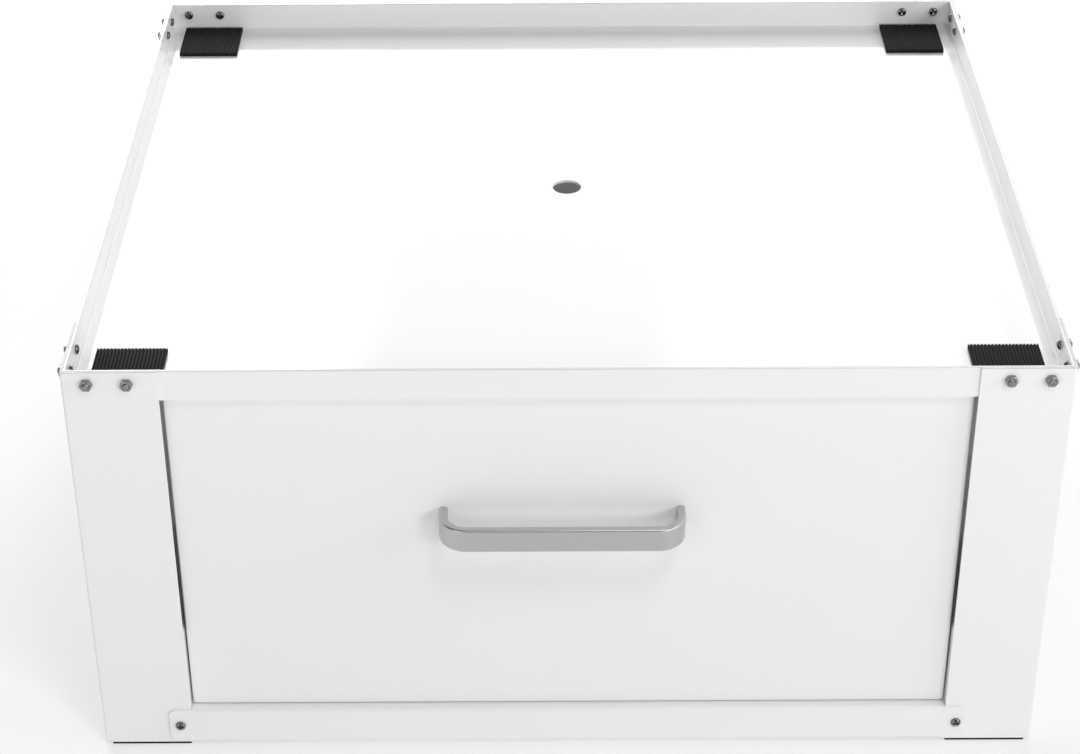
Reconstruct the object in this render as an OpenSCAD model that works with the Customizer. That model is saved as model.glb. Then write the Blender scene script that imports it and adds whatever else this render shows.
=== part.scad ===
// Washer pedestal with one drawer.
// A folded steel frame of four angle legs carries a tray for the machine; a drawer
// runs out of the front on two ball slides. Millimetres, Z up, the front looks to -Y,
// the floor is z = 0 and the origin is the middle of the whole pedestal's box.

/* [Frame] */
// Width across the legs
body_w = 630; // [580:5:700]
// Depth across the legs
body_d = 550; // [530:5:640]
// Height from the floor to the top of the rim
body_h = 301; // [280:1:400]
// Width of both flanges of an angle leg
leg_w = 60; // [52:1:70]
// Sheet thickness of the legs
leg_t = 1.5; // [1.2:0.1:2]
// Outside bend radius of the legs
leg_r = 1.8; // [1:0.1:3]

/* [Top tray] */
// Sheet thickness of the tray
tray_t = 2; // [1.5:0.1:2.5]
// Height of the rim above the deck
rim_h = 20; // [18:1:26]
// Outside bend radius where the deck turns up into the rim
tray_r = 2.6; // [2.6:0.1:4]
// Diameter of the hole in the middle of the deck
deck_hole_d = 20; // [12:1:40]
// Sideways place of the hole, negative to the left
deck_hole_x = 1.8; // [-20:0.1:20]
// Height of the ribs under the deck
rib_h = 25; // [12:1:30]
// Width of a rib's crown
rib_w = 36; // [24:1:50]
// Width of a rib's two brims
rib_brim = 12; // [8:1:16]
// Sheet thickness of the ribs
rib_t = 1.5; // [1:0.1:2]
// Distance of each rib from the middle of the deck
rib_off = 92; // [60:1:130]

/* [Washer pads] */
// Width of a pad
pad_w = 45; // [35:1:52]
// Length of a pad from front to back
pad_l = 48.5; // [35:0.5:60]
// Full thickness of a pad
pad_t = 3; // [2:0.1:5]
// Depth of the grooves in a pad
groove_h = 0.9; // [0.4:0.1:1.2]
// Distance from one groove to the next
groove_pitch = 2.25; // [1.8:0.05:3]
// Gap from a pad to the side rim
pad_side_gap = 10.5; // [6:0.5:16]
// Gap from a pad to the front or rear rim
pad_end_gap = 4.2; // [3.5:0.1:12]

/* [Feet] */
// Side of a square foot pad
foot_w = 54; // [40:1:54]
// Thickness of a foot pad
foot_t = 2; // [1:0.1:4]
// Corner radius of a foot pad
foot_r = 1; // [0.5:0.5:6]
// Inset of a foot pad from the leg's front or rear face
foot_inset = 0.5; // [0.2:0.1:3]
// Inset of a foot pad from the leg's side face
foot_side_inset = 4.2; // [2:0.1:6]

/* [Bottom rails] */
// Height of the rails that join the legs near the floor
low_h = 25.5; // [22:0.5:32]
// How far a rail laps over each leg
low_lap = 15; // [12:0.5:22]
// Height of a rail above the ends of the legs
low_lift = 3; // [1:0.5:5]
// Depth of a rail's top flange
low_flange = 18; // [10:1:24]
// Corner radius at a rail's ends
low_r = 5; // [2:0.5:8]
// Sheet thickness of the rails
low_t = 1.5; // [1:0.1:2]

/* [Side panels] */
// Sheet thickness of the side panels
panel_t = 1; // [0.8:0.1:1.5]
// Width of a panel's turned-in top and bottom edges
panel_flange = 20; // [14:1:24]
// Height of a panel's lower edge above the ends of the legs
panel_lift = 15; // [8:1:40]
// Height of the lower panel screws above the floor
panel_bolt_z = 70; // [50:1:100]
// Distance of the upper panel screws below the deck
panel_bolt_drop = 45; // [35:1:70]

/* [Runner rails] */
// Height of the rails that carry the slides
runner_h = 92; // [86:1:110]
// Width of a runner rail's flanges
runner_flange = 20; // [16:1:28]
// Sheet thickness of the runner rails and of the brackets at their ends
runner_t = 1.5; // [1.2:0.1:1.7]
// Length of a runner rail's end brackets
bracket_l = 25; // [18:1:35]

/* [Slides] */
// Length of a slide, which is also how far the drawer travels
slide_l = 450; // [380:10:470]
// Height of a slide
slide_h = 45; // [44:0.5:46]
// Thickness of a slide from the rail to the drawer
slide_w = 12.7; // [12.7:0.1:14]
// Sheet thickness of the slide's three members
slide_t = 1.2; // [1.1:0.05:1.3]
// Height of the middle of a slide above the floor
slide_z = 66; // [64:0.5:70]
// Diameter of the balls
ball_d = 4; // [3.8:0.1:4.2]
// Play between a ball and its races
ball_play = 0.2; // [0.12:0.02:0.24]
// Depth of a race in a flange
race_h = 0.45; // [0.3:0.05:0.5]
// Distance from ball to ball
ball_pitch = 25; // [20:1:40]
// Thickness of a ball cage
cage_t = 0.8; // [0.5:0.1:1]

/* [Drawer] */
// Gap between the drawer front and each leg
front_gap = 1.2; // [0.8:0.1:3]
// Gap above the drawer front
front_top_gap = 1.2; // [0.8:0.1:3]
// Gap below the drawer front
front_low_gap = 0.8; // [0.5:0.1:3]
// How far the drawer front sits behind the legs' front faces
front_recess = 5.5; // [4:0.5:9]
// Depth of the hollow drawer front
front_depth = 18; // [14:1:24]
// Outside bend radius of the drawer front
front_r = 1.4; // [1.4:0.1:3]
// Sheet thickness of the drawer
sheet_t = 1; // [0.8:0.1:1.3]
// Height of the drawer's sides
side_h = 170; // [120:5:190]
// Length of the drawer's sides
side_l = 490; // [480:5:505]
// Height of the drawer's underside above the bottom rail
drawer_lift = 5.5; // [3:0.5:9]
// Width of the drawer sides' front edges, which are turned out
side_tab = 11; // [10:0.1:11.4]
// Length of the drawer back's edges, which are turned to the rear
back_tab = 14; // [12:1:18]
// Height of the drawer bottom's edges, which are turned down
floor_tab = 10; // [9.5:0.5:14]
// Width of the doubled-over top edges
hem_h = 8; // [5:1:12]

/* [Handle] */
// Length of the handle
handle_w = 158; // [120:1:240]
// Height of the handle's bar
handle_h = 17.2; // [12:0.2:24]
// Thickness of the handle's bar
handle_t = 5.5; // [5.5:0.1:8]
// How far the handle stands out from the drawer front
handle_out = 27; // [26:0.5:40]
// Outside radius of the handle's bends
handle_r = 20; // [10:0.5:20]
// Radius of the bar's long edges
handle_edge = 1.6; // [0.5:0.1:2.4]
// Distance from the top of the drawer front to the top of the handle
handle_drop = 83.5; // [40:0.5:110]
// Sideways place of the handle, negative to the left
handle_x = -4; // [-60:1:60]

/* [Screws] */
// Diameter of the screws
screw_d = 4; // [3.5:0.1:4]
// Play of a screw in its hole, on the diameter
screw_play = 0.4; // [0.2:0.1:0.6]
// Diameter of a screw head
head_d = 6.8; // [6.4:0.1:8.4]
// Height of a screw head
head_h = 2.1; // [1.8:0.1:2.8]
// Width of a nut across its flats
nut_af = 7; // [6.5:0.1:7.2]
// Height of a nut
nut_h = 3.2; // [2.4:0.1:3.4]
// How far a screw's end stands out of its nut
screw_tip = 0.8; // [0.3:0.1:2]
// Distance of the first rim screw from the leg's corner
bolt_edge = 16; // [14:0.5:18]
// Distance between the two rim screws of a leg flange
bolt_gap = 25; // [20:0.5:28]
// Distance of the rim screws below the rim's top
bolt_drop = 8.5; // [7:0.5:10]
// Distance of the bottom rail's screws from the leg's inner edge
low_bolt_in = 7.7; // [7.7:0.1:9]
// Diameter of a rivet
rivet_d = 4; // [3:0.1:4]
// Diameter of a rivet's head
rivet_head_d = 7; // [6:0.1:7.6]

/* [Hidden] */

// Facets of round edges and of holes
round_fn = 48;
// Length by which a cut runs past the surface that it opens
past = 1;

// Half sizes, with the pedestal's legs centred on the origin before the shift
half_w = body_w / 2;
half_d = body_d / 2;
// Inner edge of the legs, which bounds the drawer's opening
open_x = half_w - leg_w;
deck_z = body_h - rim_h;
under_deck_z = deck_z - tray_t;
plate_z = foot_t + leg_t;
low_z = foot_t + low_lift;
low_top_z = low_z + low_h;
low_bolt_z = low_z + low_h / 2;
low_bolt_x = open_x + low_bolt_in;
bolt_z = body_h - bolt_drop;
screw_hole_d = screw_d + screw_play;
rivet_hole_d = rivet_d + 0.2;

// The tray fits inside the legs
tray_w = body_w - 2 * leg_t;
tray_d = body_d - 2 * leg_t;
pad_x = tray_w / 2 - tray_t - pad_side_gap - pad_w / 2;
pad_y = tray_d / 2 - tray_t - pad_end_gap - pad_l / 2;
foot_x = half_w - foot_side_inset - foot_w / 2;
foot_y = half_d - foot_inset - foot_w / 2;

// Side panels lie against the insides of the legs
panel_x = half_w - leg_t;
panel_z = foot_t + panel_lift;
panel_h = under_deck_z - panel_z;
panel_end_gap = 1.5;
panel_bolt_top_z = under_deck_z - panel_bolt_drop;
panel_bolt_y = half_d - bolt_edge - bolt_gap;
rib_end_gap = 0.5;
rib_l = 2 * (panel_x - panel_flange - rib_end_gap);

// Drawer front
front_w = 2 * (open_x - front_gap);
front_z = low_top_z + front_low_gap;
front_h = under_deck_z - front_top_gap - front_z;
front_mid_z = front_z + front_h / 2;
front_y = -half_d + front_recess;
box_y = front_y + front_depth;
box_x = open_x - slide_w;
box_z = low_top_z + drawer_lift;
liner_depth = 10;
handle_z = front_z + front_h - handle_drop - handle_h / 2;
handle_foot_x = handle_w / 2 - handle_t / 2;
handle_screw_in = 8;
driver_hole_d = 12;

// Drawer box: the back stands in from the ends of the sides by the length of its tabs
back_y = box_y + side_l - back_tab;
back_h = side_h - hem_h - sheet_t;
floor_z = box_z + floor_tab;

// Slide section, with x = 0 on the rail's face and y = 0 at mid height.
// From outside in: outer flange, balls, middle flange, balls, inner flange.
slide_y = box_y + 2;
half_slide = slide_h / 2;
ball_row = ball_d + 2 * ball_play - 2 * race_h;
mid_half = half_slide - slide_t - ball_row;
inner_half = mid_half - slide_t - ball_row;
mid_web_x = 3.8;
outer_reach = slide_w - 2.3;
mid_reach = slide_w - 2.7;
inner_start = mid_web_x + slide_t + 0.6;
outer_ball_x = 6;
outer_ball_z = mid_half + ball_row / 2;
inner_ball_x = 8.2;
inner_ball_z = inner_half + ball_row / 2;
race_r = ball_d / 2 + ball_play;
cage_w = 5.4;
bumper_l = 9;
bumper_gap = 0.5;
moving_l = slide_l - bumper_l - bumper_gap;
cage_short = 10;
cage_l = slide_l / 2 - cage_short;
cage_y = slide_y + (slide_l + 2 * cage_short) / 4;
ball_count = floor((cage_l - ball_pitch / 2) / ball_pitch);

// Rivets as shares of a slide's length; the inner member's lie between the outer member's
slide_rivets = [0.08, 0.5, 0.9];
inner_rivets = [0.2, 0.65, 0.8];

// Rivets of the drawer; those at the front stand above the slides
front_rivet_z = [slide_z + half_slide + 1.5 * rivet_head_d, box_z + 0.9 * side_h];
back_rivet_z = [box_z + 0.2 * side_h, box_z + 0.8 * side_h];
floor_rivet_y = [box_y + 0.12 * side_l, box_y + 0.5 * side_l, box_y + 0.88 * side_l];
rivet_head_h = 1.3;
rivet_tail_h = 1.6;
rivet_tail_d = rivet_d + 1.6;

// The whole box runs from the handle's face to the ends of the rear screws
front_reach = half_d - front_recess + handle_out;
rear_reach = half_d + nut_h + screw_tip;
shift_y = (front_reach - rear_reach) / 2;

// ---- Outlines ----

// Rectangle with four round corners, centred
module round_rect(w, h, r) {
    square([w - 2 * r, h], center = true);
    square([w, h - 2 * r], center = true);
    for (x = [-1, 1], y = [-1, 1])
        translate([x * (w / 2 - r), y * (h / 2 - r)])
            circle(r, $fn = round_fn);
}

// Rectangle on the origin's side y > 0 with round lower corners, centred on x
module tub_outline(w, h, r) {
    translate([-w / 2, r])
        square([w, h - r]);
    translate([-w / 2 + r, 0])
        square([w - 2 * r, h]);
    for (x = [-1, 1])
        translate([x * (w / 2 - r), r])
            circle(r, $fn = round_fn);
}

// Angle section with its corner at the origin, round outside
module angle_outline(a, b, t, r) {
    difference() {
        union() {
            translate([r, 0])
                square([a - r, b]);
            translate([0, r])
                square([a, b - r]);
            translate([r, r])
                circle(r, $fn = round_fn);
        }
        translate([t, t])
            square([a, b]);
    }
}

// Channel section: a web on x = 0, flanges towards +x, centred on y
module channel_outline(h, reach, t) {
    difference() {
        translate([0, -h / 2])
            square([reach, h]);
        translate([t, -h / 2 + t])
            square([reach, h - 2 * t]);
    }
}

// ---- Solids from outlines ----

// Extrudes an outline drawn in x and z along Y, from y0 over a length
module along_y(y0, l) {
    translate([0, y0 + l, 0])
        rotate([90, 0, 0])
            linear_extrude(l)
                children();
}

// Extrudes an outline drawn in y and z along X, centred
module along_x(l) {
    rotate([90, 0, 90])
        linear_extrude(l, center = true)
            children();
}

// Solid block whose lower four edges are bent to a radius
module tub_block(w, d, h, r) {
    intersection() {
        along_y(-d / 2, d)
            tub_outline(w, h, r);
        along_x(w)
            tub_outline(d, h, r);
    }
}

// Sheet pan, open at the top, with its face on z = 0
module tub(w, d, h, t, r) {
    difference() {
        tub_block(w, d, h, r);
        translate([0, 0, t])
            tub_block(w - 2 * t, d - 2 * t, h, max(r - t, 0.3));
    }
}

// ---- Fasteners, drawn along +Z with the clamped face at z = 0 ----

// Pan head screw: the head is below -grip, the end stands past the nut
module screw(grip, l) {
    slot_w = 0.9;
    slot_l = head_d * 0.55;
    slot_h = head_h * 0.6;
    difference() {
        union() {
            translate([0, 0, -grip])
                cylinder(d = screw_d, h = l, $fn = round_fn);
            intersection() {
                translate([0, 0, -grip - head_h])
                    cylinder(d = head_d, h = head_h, $fn = round_fn);
                translate([0, 0, -grip - head_h + head_d])
                    sphere(head_d, $fn = round_fn);
            }
        }
        for (a = [0, 90])
            rotate(a)
                translate([-slot_l / 2, -slot_w / 2, -grip - head_h - past])
                    cube([slot_l, slot_w, slot_h + past]);
    }
}

// Hexagon nut standing on z = 0, with its outer corners turned off
module nut() {
    corner_d = nut_af / cos(30);
    chamfer = 0.5;
    difference() {
        intersection() {
            cylinder(d = corner_d, h = nut_h, $fn = 6);
            union() {
                cylinder(d = corner_d + past, h = nut_h - chamfer, $fn = round_fn);
                translate([0, 0, nut_h - chamfer])
                    cylinder(d1 = corner_d, d2 = nut_af, h = chamfer, $fn = round_fn);
            }
        }
        translate([0, 0, -past])
            cylinder(d = screw_d + 0.1, h = nut_h + 2 * past, $fn = round_fn);
    }
}

// Blind rivet: the head stands on z = 0, the tail is behind the grip
module rivet(grip) {
    cylinder(d = rivet_head_d, h = rivet_head_h * 0.5, $fn = round_fn);
    translate([0, 0, rivet_head_h * 0.5])
        cylinder(d1 = rivet_head_d, d2 = rivet_d, h = rivet_head_h * 0.5, $fn = round_fn);
    translate([0, 0, -grip])
        cylinder(d = rivet_d, h = grip, $fn = round_fn);
    translate([0, 0, -grip - rivet_tail_h])
        cylinder(d = rivet_tail_d, h = rivet_tail_h, $fn = round_fn);
}

// ---- Places ----

// Puts a child on every rim screw of one leg, its +Z pointing out of the leg's face
module at_leg_bolts(sx, sy) {
    for (e = [bolt_edge, bolt_edge + bolt_gap]) {
        translate([sx * (half_w - e), sy * half_d, bolt_z])
            rotate([90, 0, sy < 0 ? 0 : 180])
                children();
        translate([sx * half_w, sy * (half_d - e), bolt_z])
            rotate([90, 0, sx * 90])
                children();
    }
}

// Puts a child on the two side panel screws of one leg
module at_panel_bolts(sx, sy) {
    for (z = [panel_bolt_z, panel_bolt_top_z])
        translate([sx * half_w, sy * panel_bolt_y, z])
            rotate([90, 0, sx * 90])
                children();
}

// Puts a child on the bottom rail screw of one leg
module at_low_bolt(sx, sy) {
    translate([sx * low_bolt_x, sy * half_d, low_bolt_z])
        rotate([90, 0, sy < 0 ? 0 : 180])
            children();
}

// Puts a child on a slide's rivets, its +Z pointing towards the drawer
module at_slide_rivets(x, shares) {
    for (s = shares)
        translate([open_x - x, slide_y + s * slide_l, slide_z])
            rotate([0, -90, 0])
                children();
}

// A drill long enough for any sheet here
module drill(d) {
    cylinder(d = d, h = 4 * (leg_t + tray_t), center = true, $fn = round_fn);
}

// ---- Frame ----

module leg(sx, sy) {
    color("whitesmoke")
        translate([0, shift_y, 0])
            difference() {
                mirror([sx > 0 ? 1 : 0, 0, 0])
                    mirror([0, sy > 0 ? 1 : 0, 0])
                        translate([-half_w, -half_d, foot_t]) {
                            linear_extrude(body_h - foot_t)
                                angle_outline(leg_w, leg_w, leg_t, leg_r);
                            translate([leg_t, leg_t, 0])
                                cube([leg_w - leg_t, leg_w - leg_t, leg_t]);
                        }
                at_leg_bolts(sx, sy)
                    drill(screw_hole_d);
                at_panel_bolts(sx, sy)
                    drill(screw_hole_d);
                at_low_bolt(sx, sy)
                    drill(screw_hole_d);
            }
}

module top_tray() {
    color("white")
        translate([0, shift_y, 0])
            difference() {
                translate([0, 0, under_deck_z])
                    tub(tray_w, tray_d, rim_h + tray_t, tray_t, tray_r);
                translate([deck_hole_x, 0, deck_z])
                    drill(deck_hole_d);
                for (sx = [-1, 1], sy = [-1, 1])
                    at_leg_bolts(sx, sy)
                        drill(screw_hole_d);
            }
}

// Hat section ribs under the deck, between the side panels' top flanges
module deck_ribs() {
    color("gainsboro")
        for (s = [-1, 1])
            translate([0, shift_y + s * rib_off, under_deck_z])
                along_x(rib_l) {
                    translate([-rib_w / 2, -rib_h])
                        square([rib_w, rib_t]);
                    for (m = [0, 1])
                        mirror([m, 0]) {
                            translate([rib_w / 2 - rib_t, -rib_h])
                                square([rib_t, rib_h]);
                            translate([rib_w / 2 - rib_t, -rib_t])
                                square([rib_brim + rib_t, rib_t]);
                        }
                }
}

module side_panel(sx) {
    color("whitesmoke")
        translate([0, shift_y, 0])
            difference() {
                mirror([sx > 0 ? 1 : 0, 0, 0])
                    translate([-panel_x, 0, panel_z + panel_h / 2])
                        along_y(-half_d + leg_t + panel_end_gap, body_d - 2 * (leg_t + panel_end_gap))
                            channel_outline(panel_h, panel_flange, panel_t);
                for (sy = [-1, 1])
                    at_panel_bolts(sx, sy)
                        drill(screw_hole_d);
            }
}

// Rail near the floor: a face that laps over two legs, and a top flange between them
module bottom_rail(sy) {
    rail_w = 2 * (open_x + low_lap);
    flange_w = 2 * (open_x - 0.4);
    color("whitesmoke")
        translate([0, shift_y, 0])
            difference() {
                mirror([0, sy > 0 ? 1 : 0, 0])
                    translate([0, -half_d - low_t, low_z]) {
                        difference() {
                            along_y(0, low_t)
                                translate([0, low_h / 2])
                                    round_rect(rail_w, low_h, low_r);
                            translate([-flange_w / 2, -past, -past])
                                cube([flange_w, low_t + 2 * past, low_h + 2 * past]);
                        }
                        translate([0, 0, low_h])
                            mirror([0, 0, 1])
                                along_x(flange_w)
                                    angle_outline(low_flange, low_h, low_t, low_t);
                    }
                for (sx = [-1, 1])
                    at_low_bolt(sx, sy)
                        drill(screw_hole_d);
            }
}

// Channel from front leg to rear leg that carries a slide
module runner_rail(sx) {
    color("whitesmoke")
        translate([0, shift_y, 0])
            difference() {
                mirror([sx < 0 ? 1 : 0, 0, 0])
                    translate([open_x, 0, plate_z + runner_h / 2])
                        along_y(-half_d + leg_t, body_d - 2 * leg_t)
                            channel_outline(runner_h, runner_flange, runner_t);
                mirror([sx < 0 ? 1 : 0, 0, 0])
                    at_slide_rivets(0, slide_rivets)
                        drill(rivet_hole_d);
            }
}

// Angle welded into the end of a runner rail and screwed to the leg
module runner_bracket(sx, sy) {
    color("whitesmoke")
        translate([0, shift_y, 0])
            difference() {
                mirror([sx < 0 ? 1 : 0, 0, 0])
                    mirror([0, sy > 0 ? 1 : 0, 0])
                        translate([open_x + runner_t, -half_d + leg_t, plate_z + runner_t])
                            linear_extrude(runner_h - 2 * runner_t)
                                angle_outline(runner_flange - runner_t, bracket_l, runner_t, runner_t);
                at_low_bolt(sx, sy)
                    drill(screw_hole_d);
            }
}

// Rubber pad with grooves from front to back
module washer_pad(sx, sy) {
    count = floor(pad_w / groove_pitch);
    edge = (pad_w - (count - 1) * groove_pitch) / 2;
    color("dimgray")
        translate([sx * pad_x, shift_y + sy * pad_y, deck_z])
            along_y(-pad_l / 2, pad_l)
                difference() {
                    translate([-pad_w / 2, 0])
                        square([pad_w, pad_t]);
                    for (i = [0 : count - 1])
                        translate([-pad_w / 2 + edge + (i - 0.25) * groove_pitch, pad_t - groove_h])
                            square([groove_pitch / 2, groove_h + past]);
                }
}

module foot(sx, sy) {
    color("black")
        translate([sx * foot_x, shift_y + sy * foot_y, 0])
            linear_extrude(foot_t)
                round_rect(foot_w, foot_w, foot_r);
}

module rim_screws() {
    grip = leg_t + tray_t;
    color("silver")
        translate([0, shift_y, 0])
            for (sx = [-1, 1], sy = [-1, 1])
                at_leg_bolts(sx, sy)
                    screw(grip, grip + nut_h + screw_tip);
}

module rim_nuts() {
    color("darkgray")
        translate([0, shift_y, 0])
            for (sx = [-1, 1], sy = [-1, 1])
                at_leg_bolts(sx, sy)
                    nut();
}

// These screws go in from outside, so they are turned round on their places
module rail_screws() {
    grip = low_t + leg_t + runner_t;
    color("silver")
        translate([0, shift_y, 0])
            for (sx = [-1, 1], sy = [-1, 1])
                at_low_bolt(sx, sy)
                    rotate([180, 0, 0])
                        translate([0, 0, leg_t + runner_t])
                            screw(grip, grip + nut_h + screw_tip);
}

module rail_nuts() {
    color("darkgray")
        translate([0, shift_y, 0])
            for (sx = [-1, 1], sy = [-1, 1])
                at_low_bolt(sx, sy)
                    rotate([180, 0, 0])
                        translate([0, 0, leg_t + runner_t])
                            nut();
}

module panel_screws() {
    grip = leg_t + panel_t;
    color("silver")
        translate([0, shift_y, 0])
            for (sx = [-1, 1], sy = [-1, 1])
                at_panel_bolts(sx, sy)
                    screw(grip, grip + nut_h + screw_tip);
}

module panel_nuts() {
    color("darkgray")
        translate([0, shift_y, 0])
            for (sx = [-1, 1], sy = [-1, 1])
                at_panel_bolts(sx, sy)
                    nut();
}

// ---- Slides, drawn for the right side and mirrored for the left ----

// Places a slide section drawn from the rail's face (x = 0) towards the drawer
module slide_part(side, y0, l) {
    mirror([side < 0 ? 1 : 0, 0, 0])
        translate([open_x, shift_y, slide_z])
            mirror([1, 0, 0])
                along_y(y0, l)
                    children();
}

// Upper and lower rows of balls, or the races cut for them
module ball_row_circles(x, z, r) {
    for (s = [-1, 1])
        translate([x, s * z])
            circle(r, $fn = round_fn);
}

module slide_outer(side) {
    color("lightsteelblue")
        difference() {
            slide_part(side, slide_y, slide_l)
                difference() {
                    channel_outline(slide_h, outer_reach, slide_t);
                    ball_row_circles(outer_ball_x, outer_ball_z, race_r);
                }
            mirror([side < 0 ? 1 : 0, 0, 0])
                translate([0, shift_y, 0])
                    at_slide_rivets(0, slide_rivets)
                        drill(rivet_hole_d);
        }
}

// The middle member has driver holes in line with the outer member's rivets
module slide_middle(side) {
    color("lightsteelblue")
        difference() {
            slide_part(side, slide_y, moving_l)
                difference() {
                    translate([mid_web_x, 0])
                        channel_outline(2 * mid_half, mid_reach - mid_web_x, slide_t);
                    ball_row_circles(outer_ball_x, outer_ball_z, race_r);
                    ball_row_circles(inner_ball_x, inner_ball_z, race_r);
                }
            mirror([side < 0 ? 1 : 0, 0, 0])
                translate([0, shift_y, 0])
                    at_slide_rivets(mid_web_x, slide_rivets)
                        cylinder(d = rivet_head_d + 2, h = 2 * slide_w, center = true, $fn = round_fn);
        }
}

module slide_inner(side) {
    color("lightsteelblue")
        difference() {
            slide_part(side, slide_y, moving_l)
                difference() {
                    translate([slide_w, 0])
                        mirror([1, 0])
                            channel_outline(2 * inner_half, slide_w - inner_start, slide_t);
                    ball_row_circles(inner_ball_x, inner_ball_z, race_r);
                }
            mirror([side < 0 ? 1 : 0, 0, 0])
                translate([0, shift_y, 0])
                    at_slide_rivets(slide_w, inner_rivets)
                        drill(rivet_hole_d);
        }
}

// Flat strips that keep the balls apart
module cage(side, x, z) {
    color("silver")
        difference() {
            slide_part(side, cage_y, cage_l)
                for (s = [-1, 1])
                    translate([x - cage_w / 2, s * z - cage_t / 2])
                        square([cage_w, cage_t]);
            at_balls(side, x, z)
                cylinder(d = ball_d + ball_play, h = 3 * cage_t, center = true, $fn = round_fn);
        }
}

module at_balls(side, x, z) {
    first_y = cage_y + (cage_l - (ball_count - 1) * ball_pitch) / 2;
    for (i = [0 : ball_count - 1], s = [-1, 1])
        translate([side * (open_x - x), shift_y + first_y + i * ball_pitch, slide_z + s * z])
            children();
}

module balls(side, x, z) {
    color("gray")
        at_balls(side, x, z)
            sphere(d = ball_d, $fn = 24);
}

// Stops at the rear ends of the outer members
module slide_bumpers() {
    color("black")
        for (side = [-1, 1])
            slide_part(side, slide_y + slide_l - bumper_l, bumper_l)
                translate([slide_t, -inner_half])
                    square([outer_reach - slide_t, 2 * inner_half]);
}

module outer_slide_rivets() {
    color("silver")
        for (m = [0, 1])
            mirror([m, 0, 0])
                translate([0, shift_y, 0])
                    at_slide_rivets(slide_t, slide_rivets)
                        rivet(slide_t + runner_t);
}

// Heads inside the inner member, tails inside the drawer
module inner_slide_rivets() {
    color("silver")
        for (m = [0, 1])
            mirror([m, 0, 0])
                translate([0, shift_y, 0])
                    at_slide_rivets(slide_w - slide_t, inner_rivets)
                        rotate([180, 0, 0])
                            rivet(slide_t + sheet_t);
}

// ---- Drawer ----

// Puts a child on the handle's two screws, its +Z pointing out of the drawer front
module at_handle_screws() {
    for (s = [-1, 1])
        translate([handle_x + s * handle_foot_x, front_y, handle_z])
            rotate([90, 0, 0])
                children();
}

module drawer_front() {
    color("white")
        translate([0, shift_y, 0])
            difference() {
                translate([0, front_y, front_mid_z])
                    rotate([-90, 0, 0])
                        tub(front_w, front_h, front_depth, sheet_t, front_r);
                at_handle_screws()
                    drill(screw_hole_d);
            }
}

// Inner skin of the drawer front: its edges lie inside those of the front
module drawer_front_liner() {
    liner_w = front_w - 2 * sheet_t;
    liner_h = front_h - 2 * sheet_t;
    color("whitesmoke")
        translate([0, shift_y, 0])
            difference() {
                translate([0, box_y, front_mid_z])
                    rotate([90, 0, 0])
                        tub(liner_w, liner_h, liner_depth, sheet_t, sheet_t + 0.3);
                at_handle_screws()
                    translate([0, 0, -front_depth])
                        cylinder(d = driver_hole_d, h = front_depth, center = true, $fn = round_fn);
                at_front_rivets()
                    drill(rivet_hole_d);
            }
}

// Rivets that hold the sides' front edges to the liner, with their heads to the rear
module at_front_rivets() {
    for (sx = [-1, 1], z = front_rivet_z)
        translate([sx * (box_x + side_tab / 2), box_y + sheet_t, z])
            rotate([-90, 0, 0])
                children();
}

// Rivets that hold the back to the sides, with their heads outside
module at_back_rivets() {
    for (sx = [-1, 1], z = back_rivet_z)
        translate([sx * box_x, back_y + (back_tab + sheet_t) / 2, z])
            rotate([0, sx * 90, 0])
                children();
}

// Rivets that hold the bottom to the sides, with their heads outside
module at_floor_rivets() {
    for (sx = [-1, 1], y = floor_rivet_y)
        translate([sx * box_x, y, floor_z - (floor_tab + sheet_t) / 2])
            rotate([0, sx * 90, 0])
                children();
}

// Side sheet with its front edge turned out and its top edge doubled
module drawer_side(sx) {
    color("whitesmoke")
        translate([0, shift_y, 0])
            difference() {
                mirror([sx > 0 ? 1 : 0, 0, 0])
                    translate([-box_x, box_y, box_z]) {
                        cube([sheet_t, side_l, side_h]);
                        translate([-side_tab, 0, 0])
                            cube([side_tab + sheet_t, sheet_t, side_h]);
                        translate([0, 0, side_h - hem_h])
                            cube([2 * sheet_t, side_l, hem_h]);
                    }
                at_front_rivets()
                    drill(rivet_hole_d);
                at_back_rivets()
                    drill(rivet_hole_d);
                at_floor_rivets()
                    drill(rivet_hole_d);
                mirror([sx < 0 ? 1 : 0, 0, 0])
                    at_slide_rivets(slide_w, inner_rivets)
                        drill(rivet_hole_d);
            }
}

// Flat sheet between the sides, its two long edges turned down against them
module drawer_bottom() {
    fit_gap = 0.2;
    floor_w = 2 * (box_x - sheet_t);
    color("whitesmoke")
        translate([0, shift_y, 0])
            difference() {
                translate([0, 0, box_z])
                    along_y(box_y + fit_gap, back_y - box_y - 2 * fit_gap) {
                        translate([-floor_w / 2, floor_tab - sheet_t])
                            square([floor_w, sheet_t]);
                        for (x = [-floor_w / 2, floor_w / 2 - sheet_t])
                            translate([x, 0])
                                square([sheet_t, floor_tab]);
                    }
                at_floor_rivets()
                    drill(rivet_hole_d);
            }
}

// Sheet between the sides, its two ends turned to the rear and its top edge doubled
module drawer_back() {
    back_w = 2 * (box_x - sheet_t);
    hem_w = back_w - 2 * (sheet_t + 1);
    color("whitesmoke")
        translate([0, shift_y, 0])
            difference() {
                translate([0, back_y, box_z]) {
                    translate([-back_w / 2, 0, 0])
                        cube([back_w, sheet_t, back_h]);
                    for (x = [-back_w / 2, back_w / 2 - sheet_t])
                        translate([x, 0, 0])
                            cube([sheet_t, back_tab, back_h]);
                    translate([-hem_w / 2, 0, back_h - hem_h])
                        cube([hem_w, 2 * sheet_t, hem_h]);
                }
                at_back_rivets()
                    drill(rivet_hole_d);
            }
}

module drawer_rivets() {
    color("silver")
        translate([0, shift_y, 0]) {
            at_front_rivets()
                rivet(2 * sheet_t);
            at_back_rivets()
                rivet(2 * sheet_t);
            at_floor_rivets()
                rivet(2 * sheet_t);
        }
}

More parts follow.
